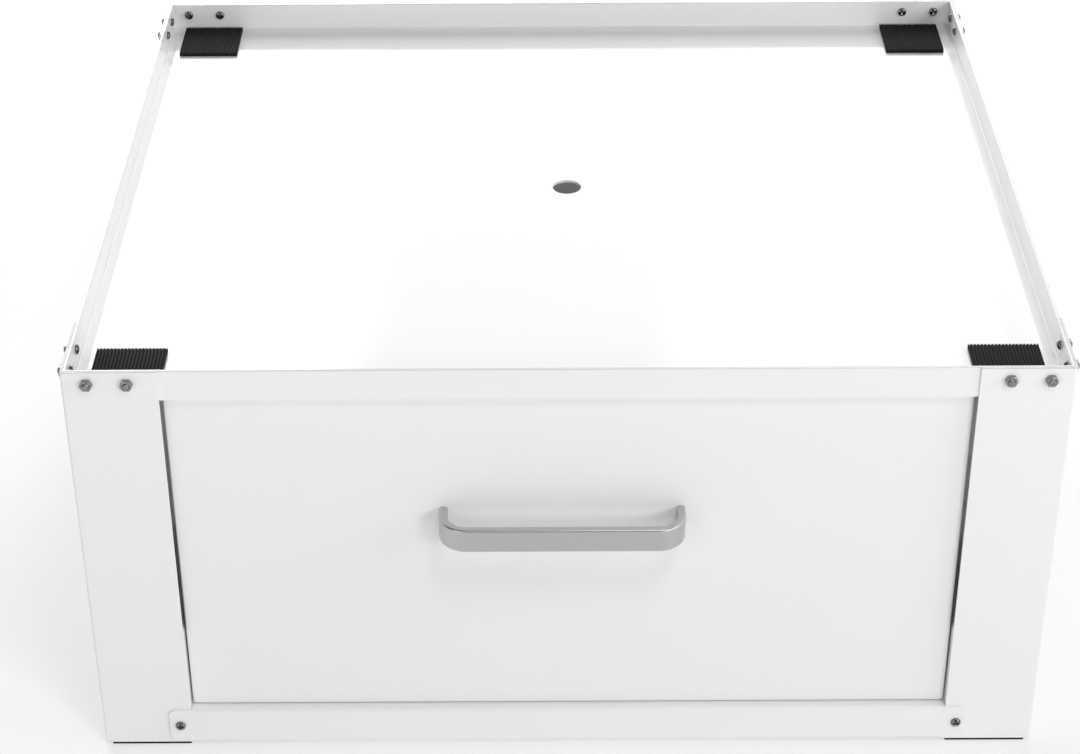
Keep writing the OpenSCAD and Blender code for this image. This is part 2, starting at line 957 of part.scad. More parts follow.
// Bow handle: one bar of even section, bent twice and butted on the drawer front
module handle() {
    bend = handle_r - handle_t / 2;
    span = handle_w - 2 * handle_r;
    stem = handle_out - handle_r;
    color("silver")
        translate([0, shift_y, 0])
            difference() {
                translate([handle_x, front_y, handle_z]) {
                    translate([0, -handle_out + handle_t / 2, 0])
                        along_x(span)
                            round_rect(handle_t, handle_h, handle_edge);
                    for (m = [0, 1])
                        mirror([m, 0, 0]) {
                            translate([handle_foot_x, -stem / 2, 0])
                                rotate([90, 0, 0])
                                    linear_extrude(stem, center = true)
                                        round_rect(handle_t, handle_h, handle_edge);
                            translate([span / 2, -stem, 0])
                                rotate([0, 0, -90])
                                    rotate_extrude(angle = 90, $fn = 2 * round_fn)
                                        translate([bend, 0])
                                            round_rect(handle_t, handle_h, handle_edge);
                        }
                }
                at_handle_screws()
                    translate([0, 0, -past])
                        cylinder(d = screw_d + 0.1, h = handle_screw_in + 2 * past, $fn = round_fn);
            }
}

// The heads bear on the inside of the drawer front
module handle_screws() {
    color("silver")
        translate([0, shift_y, 0])
            at_handle_screws()
                screw(sheet_t, sheet_t + handle_screw_in);
}

leg(-1, -1);  // front_left_leg
leg(1, -1);  // front_right_leg
leg(-1, 1);  // rear_left_leg
leg(1, 1);  // rear_right_leg
top_tray();
deck_ribs();
side_panel(-1);  // left_side_panel
side_panel(1);  // right_side_panel
bottom_rail(-1);  // front_bottom_rail
bottom_rail(1);  // rear_bottom_rail
runner_rail(-1);  // left_runner_rail
runner_rail(1);  // right_runner_rail
runner_bracket(-1, -1);  // front_left_runner_bracket
runner_bracket(1, -1);  // front_right_runner_bracket
runner_bracket(-1, 1);  // rear_left_runner_bracket
runner_bracket(1, 1);  // rear_right_runner_bracket
washer_pad(-1, -1);  // front_left_washer_pad
washer_pad(1, -1);  // front_right_washer_pad
washer_pad(-1, 1);  // rear_left_washer_pad
washer_pad(1, 1);  // rear_right_washer_pad
foot(-1, -1);  // front_left_foot
foot(1, -1);  // front_right_foot
foot(-1, 1);  // rear_left_foot
foot(1, 1);  // rear_right_foot
rim_screws();
rim_nuts();
rail_screws();
rail_nuts();
panel_screws();
panel_nuts();
slide_outer(-1);  // left_slide_outer
slide_outer(1);  // right_slide_outer
slide_bumpers();
outer_slide_rivets();
slide_middle(-1);  // left_slide_middle
slide_middle(1);  // right_slide_middle
cage(-1, outer_ball_x, outer_ball_z);  // left_outer_cage
cage(1, outer_ball_x, outer_ball_z);  // right_outer_cage
cage(-1, inner_ball_x, inner_ball_z);  // left_inner_cage
cage(1, inner_ball_x, inner_ball_z);  // right_inner_cage
balls(-1, outer_ball_x, outer_ball_z);  // left_outer_balls
balls(1, outer_ball_x, outer_ball_z);  // right_outer_balls
balls(-1, inner_ball_x, inner_ball_z);  // left_inner_balls
balls(1, inner_ball_x, inner_ball_z);  // right_inner_balls
slide_inner(-1);  // left_slide_inner
slide_inner(1);  // right_slide_inner
inner_slide_rivets();
drawer_front();
drawer_front_liner();
drawer_side(-1);  // left_drawer_side
drawer_side(1);  // right_drawer_side
drawer_bottom();
drawer_back();
drawer_rivets();
handle();
handle_screws();
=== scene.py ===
import math

import bpy
import bmesh
import numpy as np
from mathutils import Matrix, Vector


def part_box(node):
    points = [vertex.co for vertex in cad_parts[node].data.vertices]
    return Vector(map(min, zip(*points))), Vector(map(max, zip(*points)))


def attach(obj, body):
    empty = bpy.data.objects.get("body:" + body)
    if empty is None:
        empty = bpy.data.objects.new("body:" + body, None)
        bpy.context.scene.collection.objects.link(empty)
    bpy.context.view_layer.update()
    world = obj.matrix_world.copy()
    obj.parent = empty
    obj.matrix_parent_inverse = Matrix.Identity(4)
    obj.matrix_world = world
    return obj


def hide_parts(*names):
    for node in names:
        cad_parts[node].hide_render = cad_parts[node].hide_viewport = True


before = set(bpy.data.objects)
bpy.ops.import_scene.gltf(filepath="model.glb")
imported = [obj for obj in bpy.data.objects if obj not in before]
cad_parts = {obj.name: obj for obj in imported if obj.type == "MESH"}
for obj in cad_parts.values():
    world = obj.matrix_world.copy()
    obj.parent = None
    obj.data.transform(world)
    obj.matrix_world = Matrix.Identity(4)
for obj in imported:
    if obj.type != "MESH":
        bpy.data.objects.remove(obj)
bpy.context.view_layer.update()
print("frame loaded:", len(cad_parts), "nodes")

mm = 0.001


def srgbToLinear(hexColour):
    # each channel: c / 12.92 below 0.04045, else ((c + 0.055) / 1.055) to the power 2.4
    c = np.array([int(hexColour[i:i + 2], 16) for i in (1, 3, 5)]) / 255
    c = np.where(c <= 0.04045, c / 12.92, ((c + 0.055) / 1.055) ** 2.4)
    return (*c.tolist(), 1.0)


def perMm(size):
    # texture scale that makes one repeat about this many millimetres on Object coordinates
    return 1000 / size


def addNode(material, kind, inputs=None, **settings):
    tree = material.node_tree
    node = tree.nodes.new(kind)
    for key, value in settings.items():
        setattr(node, key, value)
    for key, value in (inputs or {}).items():
        if isinstance(value, bpy.types.NodeSocket):
            tree.links.new(value, node.inputs[key])
        else:
            node.inputs[key].default_value = value
    return node


def newMaterial(name, hexColour, **sockets):
    # a Principled surface and its Object coordinates; every number here is the same all over, so it
    # sits on the shader's own socket
    material = bpy.data.materials.new(name)
    material.use_nodes = True
    shader = material.node_tree.nodes["Principled BSDF"]
    shader.inputs["Base Color"].default_value = srgbToLinear(hexColour)
    for key, value in sockets.items():
        shader.inputs[key].default_value = value
    material.diffuse_color = srgbToLinear(hexColour)
    return material, shader, addNode(material, "ShaderNodeTexCoord").outputs["Object"]


def link(material, fromSocket, toSocket):
    material.node_tree.links.new(fromSocket, toSocket)


def nodeBox(node):
    # lowest and highest corner of a CAD node, in millimetres
    lo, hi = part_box(node)
    return np.array(lo) / mm, np.array(hi) / mm


def camelName(node):
    # front_left_leg becomes frontLeftLeg
    first, *others = node.split("_")
    return first + "".join(word.title() for word in others)


def stripFaces(rings, around, closedRings=False):
    # quads between neighbouring rings of a (rings x around) grid of points, each ring closed
    i = np.arange(rings if closedRings else rings - 1)
    i, j = np.meshgrid(i, np.arange(around), indexing="ij")
    i2, j2 = (i + 1) % rings, (j + 1) % around
    quads = np.stack([i * around + j, i * around + j2, i2 * around + j2, i2 * around + j], axis=-1)
    return quads.reshape(-1, 4).tolist()


def cappedTube(rings):
    # rings joined side to side, with one face across the first and one across the last
    stations, count = rings.shape[:2]
    faces = stripFaces(stations, count)
    faces += [list(range(count))[::-1], list(range((stations - 1) * count, stations * count))]
    return rings, faces


meshLook = {
    "weld": 2e-7,  # metres
    "edgeSteps": 2,
    "sharpFrom": 35,  # degrees
    "flatness": 100,  # percent, how much large faces steer the shading beside a bevel
}


def addPiece(name, parts, body, material, node, edge=0.0, sharpFrom=meshLook["sharpFrom"]):
    # parts: (points in millimetres, faces) pairs, joined into one mesh that holds its own place
    points, faces, start = [], [], 0
    for co, polys in parts:
        co = np.asarray(co, float).reshape(-1, 3)
        points.append(co)
        faces += [[start + k for k in poly] for poly in polys]
        start += len(co)
    mesh = bpy.data.meshes.new(name)
    mesh.from_pydata((np.concatenate(points) * mm).tolist(), [], faces)
    work = bmesh.new()
    work.from_mesh(mesh)
    bmesh.ops.remove_doubles(work, verts=work.verts, dist=meshLook["weld"])
    bmesh.ops.recalc_face_normals(work, faces=work.faces)
    work.to_mesh(mesh)
    work.free()
    mesh.polygons.foreach_set("use_smooth", np.ones(len(mesh.polygons), bool))
    mesh.set_sharp_from_angle(angle=math.radians(sharpFrom))
    piece = bpy.data.objects.new(name, mesh)
    bpy.context.scene.collection.objects.link(piece)
    mesh.materials.append(material)
    if edge:
        bevel = piece.modifiers.new("edge", "BEVEL")
        bevel.width, bevel.segments = edge * mm, meshLook["edgeSteps"]
        bevel.limit_method, bevel.angle_limit = "ANGLE", math.radians(sharpFrom)
        bevel.use_clamp_overlap = True
        flat = piece.modifiers.new("flat", "WEIGHTED_NORMAL")
        flat.keep_sharp, flat.weight = True, meshLook["flatness"]
    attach(piece, body)
    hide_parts(node)


def arcPoints(centre, radius, start, end, steps):
    # centre + radius * (cos a, sin a), a from start to end in degrees
    a = np.radians(np.linspace(start, end, steps + 1))
    return np.array(centre) + radius * np.stack([np.cos(a), np.sin(a)], axis=-1)


def roundedRect(width, height, radius, steps=6):
    # four quarter arcs, centred on the origin
    x, y = width / 2 - radius, height / 2 - radius
    corners = [((x, -y), -90), ((x, y), 0), ((-x, y), 90), ((-x, -y), 180)]
    return np.concatenate([arcPoints(c, radius, a, a + 90, steps) for c, a in corners])


def bentSheet(line, thickness, insideRadius, steps=6):
    # outline of a folded sheet: its middle line is offset by half the thickness to both sides, and
    # each fold is two arcs about one centre, the inner one with the inside radius
    line = np.array(line, float)
    d = np.diff(line, axis=0)
    d /= np.linalg.norm(d, axis=1, keepdims=True)
    n = np.stack([-d[:, 1], d[:, 0]], axis=-1)
    half = thickness / 2
    middle = insideRadius + half
    left, right = [line[:1] + n[:1] * half], [line[:1] - n[:1] * half]
    for k in range(1, len(line) - 1):
        cross = d[k - 1][0] * d[k][1] - d[k - 1][1] * d[k][0]
        turn = math.atan2(cross, float(d[k - 1] @ d[k]))
        side = 1 if turn > 0 else -1
        begin = line[k] - d[k - 1] * middle * math.tan(abs(turn) / 2)
        centre = begin + n[k - 1] * side * middle
        a = np.linspace(0, turn, steps + 1)
        arm = -n[k - 1] * side
        spin = np.stack([arm[0] * np.cos(a) - arm[1] * np.sin(a),
                         arm[0] * np.sin(a) + arm[1] * np.cos(a)], axis=-1)
        left.append(centre + spin * (middle - side * half))
        right.append(centre + spin * (middle + side * half))
    left.append(line[-1:] + n[-1:] * half)
    right.append(line[-1:] - n[-1:] * half)
    return np.concatenate([np.concatenate(left), np.concatenate(right)[::-1]])


def carry(outline, start, end, along):
    # an outline carried straight along one axis: its two coordinates fill the other two in order
    rings = np.zeros((2, len(outline), 3))
    other = [axis for axis in range(3) if axis != along]
    rings[:, :, other[0]] = outline[:, 0]
    rings[:, :, other[1]] = outline[:, 1]
    rings[0, :, along], rings[1, :, along] = start, end
    return cappedTube(rings)


def slab(lo, hi):
    # closed box between two corners
    outline = np.array([[lo[0], lo[1]], [hi[0], lo[1]], [hi[0], hi[1]], [lo[0], hi[1]]])
    return carry(outline, lo[2], hi[2], 2)


def turned(profile, around):
    # (radius, height) rows turned about Z; rows at radius 0 become poles when doubles merge
    profile = np.array(profile, float)
    a = np.linspace(0, 2 * math.pi, around, endpoint=False)
    rings = np.stack([profile[:, :1] * np.cos(a), profile[:, :1] * np.sin(a),
                      np.repeat(profile[:, 1:], around, axis=1)], axis=-1)
    return rings, stripFaces(len(profile), around)


def placed(part, origins, outward):
    # copies of a part with its Z along each outward direction W and its Y along U, straight up:
    # p = o + x (U x W) + y U + z W
    points, faces = part
    points = np.asarray(points, float).reshape(-1, 3)
    w = np.array(outward, float).reshape(-1, 3)
    origins = np.array(origins, float).reshape(-1, 3)
    u = np.broadcast_to(np.array([0.0, 0.0, 1.0]), w.shape)
    across = np.cross(u, w)
    world = (origins[:, None] + points[None, :, :1] * across[:, None]
             + points[None, :, 1:2] * u[:, None] + points[None, :, 2:] * w[:, None])
    count = len(points)
    polys = [[k * count + v for v in poly] for k in range(len(origins)) for poly in faces]
    return world.reshape(-1, 3), polys


cameraPlace = {
    "position": (-16.2, -1561.9, 1128.9),  # mm, in the pedestal's frame
    "down": 32.724,  # degrees below the horizon
    "left": 0.070,  # degrees
    "roll": -0.312,  # degrees
    "lens": 83.03,  # mm
    "sensor": 36,  # mm
    "clip": (0.05, 60),  # metres
}


def makeCamera():
    look = cameraPlace
    data = bpy.data.cameras.new("photoCamera")
    data.lens, data.sensor_width, data.sensor_fit = look["lens"], look["sensor"], "HORIZONTAL"
    data.clip_start, data.clip_end = look["clip"]
    camera = bpy.data.objects.new("photoCamera", data)
    turn = (Matrix.Rotation(math.radians(look["left"]), 4, "Z")
            @ Matrix.Rotation(math.radians(90 - look["down"]), 4, "X")
            @ Matrix.Rotation(math.radians(look["roll"]), 4, "Z"))
    camera.matrix_world = Matrix.Translation([v * mm for v in look["position"]]) @ turn
    bpy.context.scene.collection.objects.link(camera)
    bpy.context.scene.camera = camera


makeCamera()


powderLook = {
    "colour": "#f3f3f3",
    "roughness": 0.30,
    "peelSize": 2.2,  # mm, waves of the coat
    "peelDepth": 0.012,  # mm
    "cloudSize": 90,  # mm, slow change in gloss
    "cloudGloss": 0.03,  # how far the roughness strays either way
    "paintedEdgeShade": "#dadada",  # painted shade: a grey line along the top edge of the rim and of the legs
    "edgeShadeFrom": 300.45,  # mm above the floor
    "edgeShadeBlend": 0.2,  # mm either way
}
enamelLook = {**powderLook, "roughness": 0.09, "peelDepth": 0.003}


def makePowderCoat(name, look):
    # polyester powder coat baked on folded steel: a soft gloss over fine orange peel, so that
    # reflections are calm and broad, and folded edges catch a thin bright line. Above a set height
    # the colour is painted greyer, a painted shade line round the top edges of the rim and the
    # legs.
    material, shader, place = newMaterial(name, look["colour"], Roughness=look["roughness"],
                                          IOR=1.5)
    peel = addNode(material, "ShaderNodeTexNoise", {
        "Vector": place, "Scale": perMm(look["peelSize"]), "Detail": 2.0, "Roughness": 0.4})
    cloud = addNode(material, "ShaderNodeTexNoise", {
        "Vector": place, "Scale": perMm(look["cloudSize"]), "Detail": 3.0})
    gloss = addNode(material, "ShaderNodeMapRange", {
        "Value": cloud.outputs["Fac"], "From Min": 0.2, "From Max": 0.8,
        "To Min": look["roughness"] - look["cloudGloss"],
        "To Max": look["roughness"] + look["cloudGloss"]})
    bump = addNode(material, "ShaderNodeBump", {
        "Height": peel.outputs["Fac"], "Strength": 1.0, "Distance": look["peelDepth"] * mm})
    # painted shade: above this height the colour turns grey, drawing a shade line along the top
    # edges
    height = addNode(material, "ShaderNodeSeparateXYZ", {"Vector": place}).outputs["Z"]
    edgeShadeBand = addNode(material, "ShaderNodeMapRange", {
        "Value": height, "From Min": (look["edgeShadeFrom"] - look["edgeShadeBlend"]) * mm,
        "From Max": (look["edgeShadeFrom"] + look["edgeShadeBlend"]) * mm})
    colour = addNode(material, "ShaderNodeValToRGB", {"Fac": edgeShadeBand.outputs["Result"]})
    colour.color_ramp.elements[0].color = srgbToLinear(look["colour"])
    colour.color_ramp.elements[1].color = srgbToLinear(look["paintedEdgeShade"])
    link(material, colour.outputs["Color"], shader.inputs["Base Color"])
    link(material, gloss.outputs["Result"], shader.inputs["Roughness"])
    link(material, bump.outputs["Normal"], shader.inputs["Normal"])
    return material


satinLook = {
    "colour": "#c2c2c3",
    "roughness": 0.36,
    "grainSize": 0.5,  # mm
    "grainDepth": 0.004,  # mm
    "grainGloss": 0.05,
}


def makeSatinSilver(look):
    # die-cast zinc under a satin silver lacquer: an even grey with metal flakes too fine to see
    # singly, so it gives a soft metallic sheen and clear but blurred highlights at the bends
    material, shader, place = newMaterial("satinSilverLacquer", look["colour"], Metallic=1.0,
                                          Roughness=look["roughness"])
    grain = addNode(material, "ShaderNodeTexNoise", {
        "Vector": place, "Scale": perMm(look["grainSize"]), "Detail": 1.0})
    bump = addNode(material, "ShaderNodeBump", {
        "Height": grain.outputs["Fac"], "Strength": 1.0, "Distance": look["grainDepth"] * mm})
    gloss = addNode(material, "ShaderNodeMapRange", {
        "Value": grain.outputs["Fac"], "To Min": look["roughness"] - look["grainGloss"],
        "To Max": look["roughness"] + look["grainGloss"]})
    link(material, gloss.outputs["Result"], shader.inputs["Roughness"])
    link(material, bump.outputs["Normal"], shader.inputs["Normal"])
    return material


zincLook = {
    "dark": "#666665",
    "light": "#b1b1af",
    "contrast": (0.3, 0.7),  # noise values where dark ends and light begins
    "blotch": 1.0,  # mm
    "roughness": 0.40,
    "blotchGloss": 0.1,
}


def makeZincPlate(look):
    # barrel-plated zinc on small steel fasteners: dull grey metal with cloudy blotches
    material, shader, place = newMaterial("dullZincPlate", look["light"], Metallic=1.0,
                                          Roughness=look["roughness"])
    blotch = addNode(material, "ShaderNodeTexNoise", {
        "Vector": place, "Scale": perMm(look["blotch"]), "Detail": 3.0})
    colour = addNode(material, "ShaderNodeValToRGB", {"Fac": blotch.outputs["Fac"]})
    darkEnd, lightEnd = colour.color_ramp.elements
    darkEnd.position, lightEnd.position = look["contrast"]
    darkEnd.color, lightEnd.color = srgbToLinear(look["dark"]), srgbToLinear(look["light"])
    gloss = addNode(material, "ShaderNodeMapRange", {
        "Value": blotch.outputs["Fac"], "To Min": look["roughness"] - look["blotchGloss"],
        "To Max": look["roughness"] + look["blotchGloss"]})
    link(material, colour.outputs["Color"], shader.inputs["Base Color"])
    link(material, gloss.outputs["Result"], shader.inputs["Roughness"])
    return material


nickelLook = {"dark": "#757577", "light": "#8e8e90", "blotch": 0.8, "roughness": 0.08}


def makeBlackNickel(look):
    # black nickel on the screw heads: a smooth dark mirror that shows the pale deck and floor in
    # grey, the dim studio above almost black, and each lamp as a white glint
    material, shader, place = newMaterial("blackNickelPlate", look["dark"], Metallic=1.0,
                                          Roughness=look["roughness"])
    blotch = addNode(material, "ShaderNodeTexNoise", {
        "Vector": place, "Scale": perMm(look["blotch"])})
    colour = addNode(material, "ShaderNodeValToRGB", {"Fac": blotch.outputs["Fac"]})
    colour.color_ramp.elements[0].color = srgbToLinear(look["dark"])
    colour.color_ramp.elements[1].color = srgbToLinear(look["light"])
    link(material, colour.outputs["Color"], shader.inputs["Base Color"])
    return material


galvanisedLook = {
    "dark": "#9fa3a6",
    "light": "#c3c7c9",
    "spangle": 7.0,  # mm, one crystal
    "wanderSize": 1.4,  # of a crystal, waves that make the crystals' edges uneven
    "wander": 4.0,  # mm
    "roughness": 0.38,
    "spread": (-0.08, 0.1),  # of the roughness, from the glossiest to the dullest crystal
}


def makeGalvanised(look):
    # hot-dip galvanised strip: crystals a few millimetres across that differ slightly in
    # brightness and gloss, the usual finish of slides and hidden rails
    material, shader, place = newMaterial("galvanisedSteel", look["light"], Metallic=1.0,
                                          Roughness=look["roughness"])
    waves = addNode(material, "ShaderNodeTexNoise", {
        "Vector": place, "Scale": perMm(look["spangle"] * look["wanderSize"])})
    bent = addNode(material, "ShaderNodeVectorMath", {
        0: waves.outputs["Color"], 1: (look["wander"] * mm,) * 3, 2: place},
        operation="MULTIPLY_ADD")
    crystal = addNode(material, "ShaderNodeTexVoronoi", {
        "Vector": bent.outputs[0], "Scale": perMm(look["spangle"])})
    tone = addNode(material, "ShaderNodeSeparateColor", {"Color": crystal.outputs["Color"]})
    colour = addNode(material, "ShaderNodeValToRGB", {"Fac": tone.outputs["Red"]})
    colour.color_ramp.elements[0].color = srgbToLinear(look["dark"])
    colour.color_ramp.elements[1].color = srgbToLinear(look["light"])
    gloss = addNode(material, "ShaderNodeMapRange", {
        "Value": tone.outputs["Green"], "To Min": look["roughness"] + look["spread"][0],
        "To Max": look["roughness"] + look["spread"][1]})
    link(material, colour.outputs["Color"], shader.inputs["Base Color"])
    link(material, gloss.outputs["Result"], shader.inputs["Roughness"])
    return material


rubberLook = {
    "dark": "#0b0b0c",
    "light": "#161617",
    "contrast": (0.35, 0.65),
    "grain": 0.7,  # mm
    "grainDepth": 0.04,  # mm
    "roughness": 0.8,
    "specular": 0.3,
}


def makeRubber(look):
    # moulded black rubber: matt, with a fine cast grain that breaks the sheen on its ribs
    material, shader, place = newMaterial("mouldedBlackRubber", look["dark"],
                                          Roughness=look["roughness"], IOR=1.52)
    shader.inputs["Specular IOR Level"].default_value = look["specular"]
    grain = addNode(material, "ShaderNodeTexNoise", {
        "Vector": place, "Scale": perMm(look["grain"]), "Detail": 2.0})
    colour = addNode(material, "ShaderNodeValToRGB", {"Fac": grain.outputs["Fac"]})
    darkEnd, lightEnd = colour.color_ramp.elements
    darkEnd.position, lightEnd.position = look["contrast"]
    darkEnd.color, lightEnd.color = srgbToLinear(look["dark"]), srgbToLinear(look["light"])
    bump = addNode(material, "ShaderNodeBump", {
        "Height": grain.outputs["Fac"], "Strength": 1.0, "Distance": look["grainDepth"] * mm})
    link(material, colour.outputs["Color"], shader.inputs["Base Color"])
    link(material, bump.outputs["Normal"], shader.inputs["Normal"])
    return material


ballSteelLook = {
    "colour": "#c9cacc",
    "roughness": 0.12,
    "filmSize": 3.0,  # mm
    "spread": (-0.06, 0.15),  # of the roughness, from bare steel to the thickest film
}


def makeBallSteel(look):
    # ground and polished bearing steel with a film of grease that clouds its mirror here and there
    material, shader, place = newMaterial("polishedBallSteel", look["colour"], Metallic=1.0,
                                          Roughness=look["roughness"])
    film = addNode(material, "ShaderNodeTexNoise", {
        "Vector": place, "Scale": perMm(look["filmSize"])})
    gloss = addNode(material, "ShaderNodeMapRange", {
        "Value": film.outputs["Fac"], "To Min": look["roughness"] + look["spread"][0],
        "To Max": look["roughness"] + look["spread"][1]})
    link(material, gloss.outputs["Result"], shader.inputs["Roughness"])
    return material


powderCoat = makePowderCoat("whitePowderCoat", powderLook)
glossEnamel = makePowderCoat("whiteGlossEnamel", enamelLook)
satinSilver = makeSatinSilver(satinLook)
zincPlate = makeZincPlate(zincLook)
blackNickel = makeBlackNickel(nickelLook)
galvanised = makeGalvanised(galvanisedLook)
rubber = makeRubber(rubberLook)
ballSteel = makeBallSteel(ballSteelLook)
print("materials made")


cornerSides = {"front_left": (-1, -1), "front_right": (1, -1),
               "rear_left": (-1, 1), "rear_right": (1, 1)}
foldAngles = np.radians(np.linspace(0, 90, 7))  # a fold's quarter turn on surfaces made of rings


def addSheet(node, parts, look, body="frame"):
    # a piece of folded steel sheet under powder coat
    addPiece(camelName(node), parts, body, powderCoat, node, look["edge"])


legLook = {
    "thickness": 1.5,
    "insideRadius": 0.3,
    "edge": 0.4,
    "plateGap": 0.05,  # keeps the foot plate's faces off the leg's own
    "plateMargin": 0.3,
}


def makeLeg(node, sideX, sideY):
    # an angle outline carried up from the foot, and the foot plate inside it
    lo, hi = nodeBox(node)
    t, gap = legLook["thickness"], legLook["plateGap"]
    reach = hi[0] - lo[0]
    inwards = np.array([-sideX, -sideY])
    corner = np.array([hi[0] if sideX > 0 else lo[0], hi[1] if sideY > 0 else lo[1]])
    line = [(reach, t / 2), (t / 2, t / 2), (t / 2, reach)]
    outline = corner + bentSheet(line, t, legLook["insideRadius"]) * inwards
    a, b = corner + inwards * (t + gap), corner + inwards * (reach - legLook["plateMargin"])
    plate = slab([*np.minimum(a, b), lo[2] + gap], [*np.maximum(a, b), lo[2] + t])
    addSheet(node, [carry(outline, lo[2], hi[2], 2), plate], legLook)


for corner, (sideX, sideY) in cornerSides.items():
    makeLeg(corner + "_leg", sideX, sideY)
print("legs made")


trayLook = {
    "thickness": 2.0,
    "insideRadius": 1.0,
    "outsideRadius": 0.7,  # pressed almost square, so that the rim ends in a crisp line
    "rimHeight": 20.0,
    "holeRadius": 10.0,
    "holeShift": 1.8,
    "perSide": 16,  # points along each side of a ring
    "edge": 0.3,
}


def makeTray():
    # rings round the tray: the hole's circle, then rectangles inset by d at height z, up the fold,
    # over the rim, down the outside and back under the deck to the hole
    lo, hi = nodeBox("top_tray")
    t, inner, outer = trayLook["thickness"], trayLook["insideRadius"], trayLook["outsideRadius"]
    deck, top, under = hi[2] - trayLook["rimHeight"], hi[2], lo[2]
    share = np.linspace(-1, 1, trayLook["perSide"], endpoint=False)
    one = np.ones_like(share)
    border = np.concatenate([np.stack(side, axis=-1) for side in
                             [(one, share), (-share, one), (-one, -share), (share, -one)]])
    centre, half = (lo[:2] + hi[:2]) / 2, (hi[:2] - lo[:2]) / 2
    angle = np.arctan2(border[:, 1] * half[1], border[:, 0] * half[0])
    circle = centre + [trayLook["holeShift"], 0] + trayLook["holeRadius"] * np.stack(
        [np.cos(angle), np.sin(angle)], axis=-1)

    def ring(xy, z):
        return np.column_stack([xy, np.full(len(xy), z)])

    def inset(d, z):
        return ring(centre + border * (half - d), z)

    rings = [ring(circle, deck)]
    rings += [inset(t + inner - inner * math.sin(a), deck + inner - inner * math.cos(a))
              for a in foldAngles]
    rings += [inset(t, top), inset(0, top)]
    rings += [inset(outer - outer * math.cos(a), under + outer - outer * math.sin(a))
              for a in foldAngles]
    rings += [ring(circle, under)]
    rings = np.stack(rings)
    faces = stripFaces(len(rings), rings.shape[1], closedRings=True)
    addPiece("topTray", [(rings, faces)], "frame", glossEnamel, "top_tray",
             trayLook["edge"])


makeTray()
print("tray made")


ribLook = {
    "thickness": 1.5,
    "crown": 36.0,  # width of the flat below
    "height": 25.0,
    "brim": 12.0,
    "offset": 92.0,  # from the middle of the deck
    "insideRadius": 1.0,
    "edge": 0.2,
}


def makeRibs():
    # a hat outline carried across the deck, twice
    lo, hi = nodeBox("deck_ribs")
    mid = (lo[1] + hi[1]) / 2
    t, top = ribLook["thickness"], hi[2]
    w, h, brim = ribLook["crown"] / 2 - t / 2, ribLook["height"], ribLook["brim"]
    line = np.array([(-w - brim - t / 2, top - t / 2), (-w, top - t / 2), (-w, top - h + t / 2),
                     (w, top - h + t / 2), (w, top - t / 2), (w + brim + t / 2, top - t / 2)])
    hats = [bentSheet(line + [mid + s * ribLook["offset"], 0], t, ribLook["insideRadius"])
            for s in (-1, 1)]
    addSheet("deck_ribs", [carry(hat, lo[0], hi[0], 0) for hat in hats], ribLook)


panelLook = {"thickness": 1.0, "insideRadius": 0.8, "edge": 0.15}
runnerLook = {"thickness": 1.5, "insideRadius": 1.0, "edge": 0.2, "bracketRadius": 0.4}


def makeChannel(node, webSide, look):
    # a channel outline in x and z, its web at the left (-1) or right (1), carried along the depth
    lo, hi = nodeBox(node)
    t = look["thickness"]
    near, far = (hi[0], lo[0]) if webSide > 0 else (lo[0], hi[0])
    x = near - webSide * t / 2
    line = [(far, lo[2] + t / 2), (x, lo[2] + t / 2), (x, hi[2] - t / 2), (far, hi[2] - t / 2)]
    addSheet(node, [carry(bentSheet(line, t, look["insideRadius"]), lo[1], hi[1], 1)], look)


def makeRunnerBracket(node, sideX, sideY):
    # an angle outline seen from above, carried up between the channel's flanges
    lo, hi = nodeBox(node)
    t = runnerLook["thickness"]
    near, far = (lo[0], hi[0]) if sideX > 0 else (hi[0], lo[0])
    end, free = (lo[1], hi[1]) if sideY < 0 else (hi[1], lo[1])
    x, y = near + sideX * t / 2, end - sideY * t / 2
    outline = bentSheet([(far, y), (x, y), (x, free)], t, runnerLook["bracketRadius"])
    addSheet(node, [carry(outline, lo[2], hi[2], 2)], runnerLook)


makeRibs()
makeChannel("left_side_panel", -1, panelLook)
makeChannel("right_side_panel", 1, panelLook)
makeChannel("left_runner_rail", 1, runnerLook)
makeChannel("right_runner_rail", -1, runnerLook)
for corner, (sideX, sideY) in cornerSides.items():
    makeRunnerBracket(corner + "_runner_bracket", sideX, sideY)
print("ribs, panels and runner rails made")


lowRailLook = {
    "thickness": 1.5,
    "outsideRadius": 1.8,
    "foldSteps": 6,
    "flange": 18.0,
    "lap": 15.4,  # over each leg
    "cornerRadius": 5.0,
    "cornerSteps": 9,
    "edge": 0.25,
}


